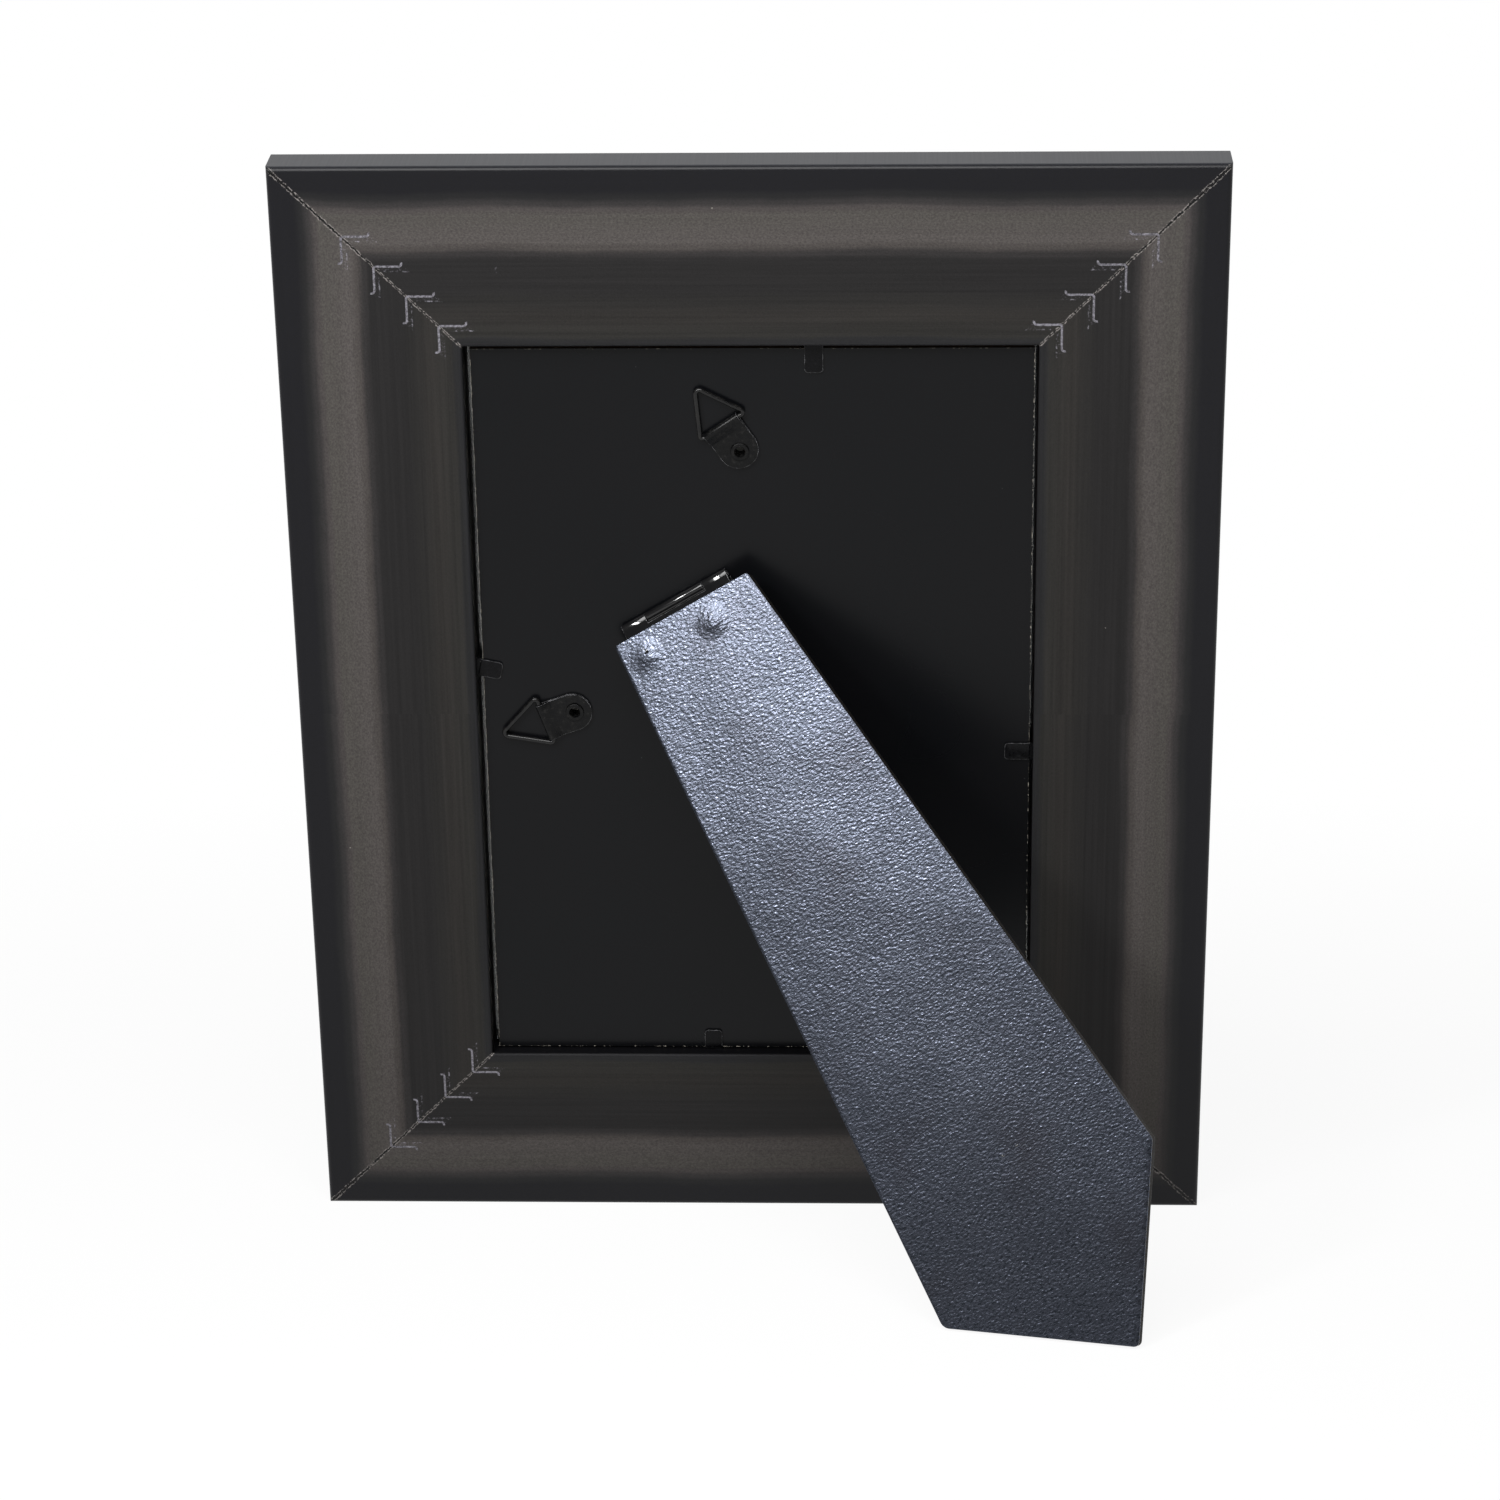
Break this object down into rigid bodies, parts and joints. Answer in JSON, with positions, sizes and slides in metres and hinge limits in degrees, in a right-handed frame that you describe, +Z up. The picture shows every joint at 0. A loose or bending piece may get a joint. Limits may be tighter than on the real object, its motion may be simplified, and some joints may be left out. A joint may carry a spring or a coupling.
{
  "type": "easel back photo frame",
  "caption": "Free-standing photo frame: mitred moulding, glass and back panel held by bending tabs, a folding strut on a riveted hinge and swivelling ring hangers.",
  "frame": {"origin": "on the floor, under the middle of the object's box", "axes": "+Z up, picture faces -Y and leans back, strut stands towards +Y, X along the frame's width"},
  "size_m": [0.214, 0.1216, 0.2594],
  "materials": {
    "black_moulding": "black stained and coated wood, worn brownish along the middle of the back",
    "nail_steel": "bare steel strip, scuffed",
    "tab_steel": "black coated spring steel",
    "window_glass": "clear float glass",
    "plain_card": "plain bare insert card",
    "panel_fibreboard": "brown fibreboard",
    "panel_black": "smooth black facing paper",
    "hinge_black": "gloss black steel",
    "rivet_black": "black steel",
    "strut_fibreboard": "dark fibreboard",
    "strut_leatherette": "black embossed leather grain covering paper",
    "hanger_black": "black lacquered steel"
  },
  "bodies": {
    "frame": {"rail_left": "black_moulding", "rail_right": "black_moulding", "rail_bottom": "black_moulding", "rail_top": "black_moulding", "corner_nails_top_left": "nail_steel", "corner_nails_top_right": "nail_steel", "corner_nails_bottom_right": "nail_steel", "corner_nails_bottom_left": "nail_steel", "tab_blades": "tab_steel", "glass_pane": "window_glass", "photo_insert": "plain_card", "back_panel": "panel_fibreboard", "panel_facing": "panel_black", "hinge_panel_leaf": "hinge_black", "hinge_pin": "hinge_black", "hinge_panel_rivets": "rivet_black", "hanger_top_eyelet": "hanger_black", "hanger_side_eyelet": "hanger_black"},
    "strut": {"strut_board": "strut_fibreboard", "strut_lining": "strut_leatherette", "strut_cover": "strut_leatherette", "hinge_strut_leaf": "hinge_black", "hinge_strut_rivets": "rivet_black"},
    "hanger_top": {"hanger_top_strap": "hanger_black"},
    "ring_top": {"hanger_top_ring": "hanger_black"},
    "hanger_side": {"hanger_side_strap": "hanger_black"},
    "ring_side": {"hanger_side_ring": "hanger_black"},
    "tab_top": {"tab_top": "tab_steel"},
    "tab_bottom": {"tab_bottom": "tab_steel"},
    "tab_left": {"tab_left": "tab_steel"},
    "tab_right": {"tab_right": "tab_steel"}
  },
  "joints": [
    {"name": "strut_hinge", "type": "hinge", "parent": "frame", "child": "strut", "pos_m": [0.0182, -0.01317, 0.15556], "axis": [-0.8572, 0.1246, 0.4997], "range_deg": [0, 30.8]},
    {"name": "hanger_top_swivel", "type": "hinge", "parent": "frame", "child": "hanger_top", "pos_m": [0.0027, -0.00531, 0.19163], "axis": [0, 0.9703, -0.2419], "continuous": true},
    {"name": "ring_top_swing", "type": "hinge", "parent": "hanger_top", "child": "ring_top", "pos_m": [0.00674, -0.00289, 0.19716], "axis": [-0.8271, 0.136, 0.5454], "range_deg": [-2, 135]},
    {"name": "hanger_side_swivel", "type": "hinge", "parent": "frame", "child": "hanger_side", "pos_m": [0.0424, -0.02103, 0.12856], "axis": [0, 0.9703, -0.2419], "continuous": true},
    {"name": "ring_side_swing", "type": "hinge", "parent": "hanger_side", "child": "ring_side", "pos_m": [0.04917, -0.02064, 0.12598], "axis": [0.3355, 0.2279, 0.9141], "range_deg": [-2, 135]},
    {"name": "tab_top_bend", "type": "hinge", "parent": "frame", "child": "tab_top", "pos_m": [-0.0143, 0.00108, 0.21601], "axis": [1, 0, 0], "range_deg": [0, 80]},
    {"name": "tab_bottom_bend", "type": "hinge", "parent": "frame", "child": "tab_bottom", "pos_m": [0.0113, -0.04227, 0.04213], "axis": [-1, 0, 0], "range_deg": [0, 80]},
    {"name": "tab_left_bend", "type": "hinge", "parent": "frame", "child": "tab_left", "pos_m": [0.06412, -0.01803, 0.13937], "axis": [0.2079, -0.2366, -0.9491], "range_deg": [0, 80]},
    {"name": "tab_right_bend", "type": "hinge", "parent": "frame", "child": "tab_right", "pos_m": [-0.0641, -0.02321, 0.11859], "axis": [0, 0.2419, 0.9703], "range_deg": [0, 80]}
  ]
}
